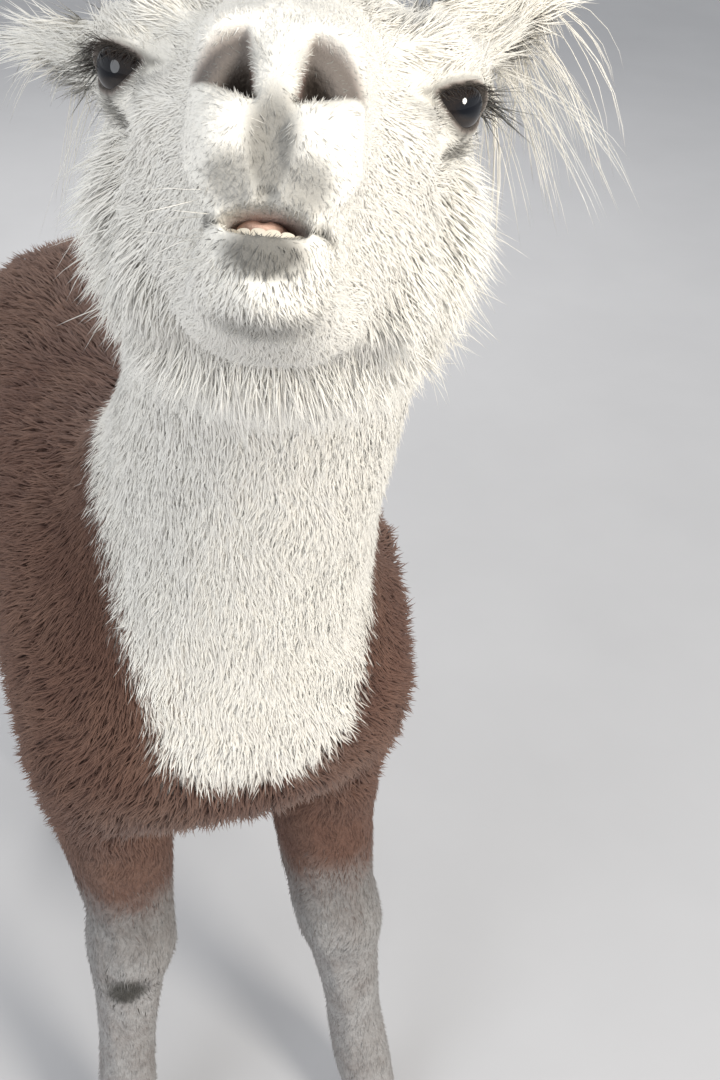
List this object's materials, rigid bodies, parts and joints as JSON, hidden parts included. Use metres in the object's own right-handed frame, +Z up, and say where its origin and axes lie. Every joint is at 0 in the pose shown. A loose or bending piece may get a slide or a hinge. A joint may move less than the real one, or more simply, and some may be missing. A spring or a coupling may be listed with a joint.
{
  "type": "llama, life-size still model",
  "caption": "Life-size still model of a standing llama with its head raised towards the viewer with one ear held up and one out, for display.",
  "frame": {"origin": "middle of the llama's box at floor level, between its feet", "axes": "+Z up, -Y the way the llama faces, +X its left side"},
  "size_m": [0.4028, 1.3512, 1.4892],
  "materials": {
    "white_coat": "short white plush wool, longer on the cheeks and ears",
    "brown_coat": "reddish brown plush wool",
    "leg_coat": "short flat hair, brown above the knee and pale grey below",
    "eye": "dark glossy eye",
    "nail": "dark horn",
    "tooth": "ivory enamel"
  },
  "bodies": {
    "root": {"head": "white_coat", "ear_left": "white_coat", "ear_right": "white_coat", "neck": "white_coat", "trunk": "brown_coat", "tail": "brown_coat", "foreleg_left": "leg_coat", "foreleg_right": "leg_coat", "hind_leg_left": "leg_coat", "hind_leg_right": "leg_coat", "eye_left": "eye", "eye_right": "eye", "incisors": "tooth", "nail_foreleg_left_a": "nail", "nail_foreleg_left_b": "nail", "nail_foreleg_right_a": "nail", "nail_foreleg_right_b": "nail", "nail_hind_leg_left_a": "nail", "nail_hind_leg_left_b": "nail", "nail_hind_leg_right_a": "nail", "nail_hind_leg_right_b": "nail"}
  },
  "joints": []
}
